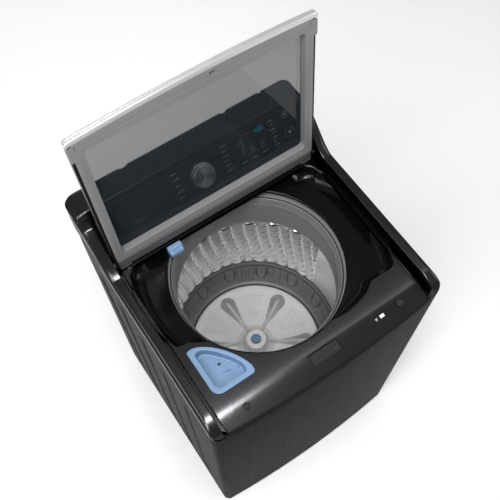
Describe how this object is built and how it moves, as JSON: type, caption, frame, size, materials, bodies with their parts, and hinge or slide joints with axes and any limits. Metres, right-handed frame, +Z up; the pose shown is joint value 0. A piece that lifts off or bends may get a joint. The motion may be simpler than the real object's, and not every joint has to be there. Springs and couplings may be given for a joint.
{
  "type": "top load washing machine",
  "caption": "Top load washer with open glass lid, rear control console, hanging tub, stainless drum, impeller and direct drive.",
  "frame": {"origin": "on the floor, at the middle of the object's box in plan", "axes": "+X to the right seen from the front, the front faces -Y, +Z up"},
  "size_m": [0.686, 0.699, 1.5086],
  "materials": {
    "cabinet_steel": "dark brushed-look charcoal paint, satin",
    "black_plastic": "moulded, fine satin grain",
    "gloss_black": "polished piano black",
    "grey_plastic": "moulded mid grey, satin",
    "lid_trim": "bright silver plated plastic",
    "smoked_glass": "grey tinted tempered glass",
    "dial_metal": "spun face with radial sheen",
    "rubber": "matt",
    "white_plastic": "moulded natural polypropylene",
    "circuit_board": "green solder mask",
    "cast_aluminium": "as cast",
    "bearing_steel": "ground",
    "motor_windings": "enamelled copper on laminated steel",
    "rotor_steel": "pressed and zinc coated",
    "drum_stainless": "embossed stainless sheet with perforations",
    "ring_plastic": "moulded light grey, satin",
    "drum_base_plastic": "moulded dark grey, satin",
    "impeller_plastic": "moulded pale grey with fine pearl",
    "blue_plastic": "moulded light blue, satin"
  },
  "bodies": {
    "cabinet": {"front_panel": "cabinet_steel", "left_side_panel": "cabinet_steel", "right_side_panel": "cabinet_steel", "rear_panel": "cabinet_steel", "base_frame": "black_plastic", "top_cover": "black_plastic", "mouth_surround": "gloss_black", "left_lid_bumper": "rubber", "right_lid_bumper": "rubber", "lid_lock_housing": "black_plastic", "console_housing": "black_plastic", "console_fascia": "gloss_black", "control_board": "circuit_board", "spray_nozzle": "blue_plastic", "inlet_valve": "white_plastic", "drain_pump": "black_plastic", "front_left_suspension_rod": "bearing_steel", "front_right_suspension_rod": "bearing_steel", "rear_left_suspension_rod": "bearing_steel", "rear_right_suspension_rod": "bearing_steel"},
    "lid": {"lid_shell": "black_plastic", "lid_inner_frame": "grey_plastic", "lid_glass": "smoked_glass", "lid_front_trim": "lid_trim", "left_lid_hinge": "grey_plastic", "right_lid_hinge": "grey_plastic"},
    "lock_bolt": {"lid_lock_bolt": "white_plastic"},
    "dial": {"selector_dial": "dial_metal"},
    "tray": {"detergent_tray": "blue_plastic"},
    "tub": {"outer_tub": "white_plastic", "bearing_housing": "cast_aluminium", "upper_bearing": "bearing_steel", "lower_bearing": "bearing_steel", "motor_stator": "motor_windings", "front_left_damper_cup": "black_plastic", "front_right_damper_cup": "black_plastic", "rear_left_damper_cup": "black_plastic", "rear_right_damper_cup": "black_plastic"},
    "drum": {"wash_drum": "drum_stainless", "balance_ring": "ring_plastic", "drum_base": "drum_base_plastic", "spin_tube": "bearing_steel"},
    "wash_plate": {"impeller": "impeller_plastic", "impeller_cap": "blue_plastic", "drive_shaft": "bearing_steel", "motor_rotor": "rotor_steel"},
    "clutch": {"clutch_slider": "white_plastic"},
    "option_key_1": {"option_key_1": "gloss_black"},
    "option_key_2": {"option_key_2": "gloss_black"},
    "option_key_3": {"option_key_3": "gloss_black"},
    "option_key_4": {"option_key_4": "gloss_black"},
    "temperature_key": {"temperature_key": "gloss_black"},
    "spin_speed_key": {"spin_speed_key": "gloss_black"},
    "soil_level_key": {"soil_level_key": "gloss_black"},
    "power_key": {"power_key": "gloss_black"},
    "start_key": {"start_key": "gloss_black"},
    "front_left_foot": {"front_left_levelling_foot": "rubber"},
    "front_right_foot": {"front_right_levelling_foot": "rubber"},
    "rear_left_foot": {"rear_left_levelling_foot": "rubber"},
    "rear_right_foot": {"rear_right_levelling_foot": "rubber"}
  },
  "joints": [
    {"name": "lid_hinge", "type": "hinge", "parent": "cabinet", "child": "lid", "pos_m": [0, 0.1796, 1.0073], "axis": [-1, 0, 0], "range_deg": [-95.7, 0]},
    {"name": "lid_lock_bolt_lift", "type": "slide", "parent": "cabinet", "child": "lock_bolt", "axis": [0, 0, 1], "range_m": [0, 0.022]},
    {"name": "selector_turn", "type": "hinge", "parent": "cabinet", "child": "dial", "pos_m": [0, 0.24418, 1.08149], "axis": [0, -0.8296, 0.5584], "continuous": true},
    {"name": "detergent_tray_lift", "type": "slide", "parent": "cabinet", "child": "tray", "axis": [0, 0, 1], "range_m": [0, 0.06]},
    {"name": "tub_bounce", "type": "slide", "parent": "cabinet", "child": "tub", "axis": [0, 0, 1], "range_m": [-0.025, 0.008], "stiffness_N_per_m": 14000, "springref_m": 0.0312},
    {"name": "drum_spin", "type": "hinge", "parent": "tub", "child": "drum", "pos_m": [0, -0.0075, 0.3], "axis": [0, 0, 1], "continuous": true},
    {"name": "impeller_spin", "type": "hinge", "parent": "tub", "child": "wash_plate", "pos_m": [0, -0.0075, 0.25], "axis": [0, 0, 1], "continuous": true},
    {"name": "clutch_shift", "type": "slide", "parent": "drum", "child": "clutch", "axis": [0, 0, 1], "range_m": [0, 0.006]},
    {"name": "option_key_1_press", "type": "slide", "parent": "cabinet", "child": "option_key_1", "axis": [0, 0.8296, -0.5584], "range_m": [0, 0.0011], "stiffness_N_per_m": 600, "springref_m": -0.0008},
    {"name": "option_key_2_press", "type": "slide", "parent": "cabinet", "child": "option_key_2", "axis": [0, 0.8296, -0.5584], "range_m": [0, 0.0011], "stiffness_N_per_m": 600, "springref_m": -0.0008},
    {"name": "option_key_3_press", "type": "slide", "parent": "cabinet", "child": "option_key_3", "axis": [0, 0.8296, -0.5584], "range_m": [0, 0.0011], "stiffness_N_per_m": 600, "springref_m": -0.0008},
    {"name": "option_key_4_press", "type": "slide", "parent": "cabinet", "child": "option_key_4", "axis": [0, 0.8296, -0.5584], "range_m": [0, 0.0011], "stiffness_N_per_m": 600, "springref_m": -0.0008},
    {"name": "temperature_key_press", "type": "slide", "parent": "cabinet", "child": "temperature_key", "axis": [0, 0.8296, -0.5584], "range_m": [0, 0.0011], "stiffness_N_per_m": 600, "springref_m": -0.0008},
    {"name": "spin_speed_key_press", "type": "slide", "parent": "cabinet", "child": "spin_speed_key", "axis": [0, 0.8296, -0.5584], "range_m": [0, 0.0011], "stiffness_N_per_m": 600, "springref_m": -0.0008},
    {"name": "soil_level_key_press", "type": "slide", "parent": "cabinet", "child": "soil_level_key", "axis": [0, 0.8296, -0.5584], "range_m": [0, 0.0011], "stiffness_N_per_m": 600, "springref_m": -0.0008},
    {"name": "power_key_press", "type": "slide", "parent": "cabinet", "child": "power_key", "axis": [0, 0.8296, -0.5584], "range_m": [0, 0.0011], "stiffness_N_per_m": 600, "springref_m": -0.0008},
    {"name": "start_key_press", "type": "slide", "parent": "cabinet", "child": "start_key", "axis": [0, 0.8296, -0.5584], "range_m": [0, 0.0011], "stiffness_N_per_m": 600, "springref_m": -0.0008},
    {"name": "front_left_foot_adjust", "type": "slide", "parent": "cabinet", "child": "front_left_foot", "axis": [0, 0, 1], "range_m": [-0.02, 0.003]},
    {"name": "front_right_foot_adjust", "type": "slide", "parent": "cabinet", "child": "front_right_foot", "axis": [0, 0, 1], "range_m": [-0.02, 0.003]},
    {"name": "rear_left_foot_adjust", "type": "slide", "parent": "cabinet", "child": "rear_left_foot", "axis": [0, 0, 1], "range_m": [-0.02, 0.003]},
    {"name": "rear_right_foot_adjust", "type": "slide", "parent": "cabinet", "child": "rear_right_foot", "axis": [0, 0, 1], "range_m": [-0.02, 0.003]}
  ]
}
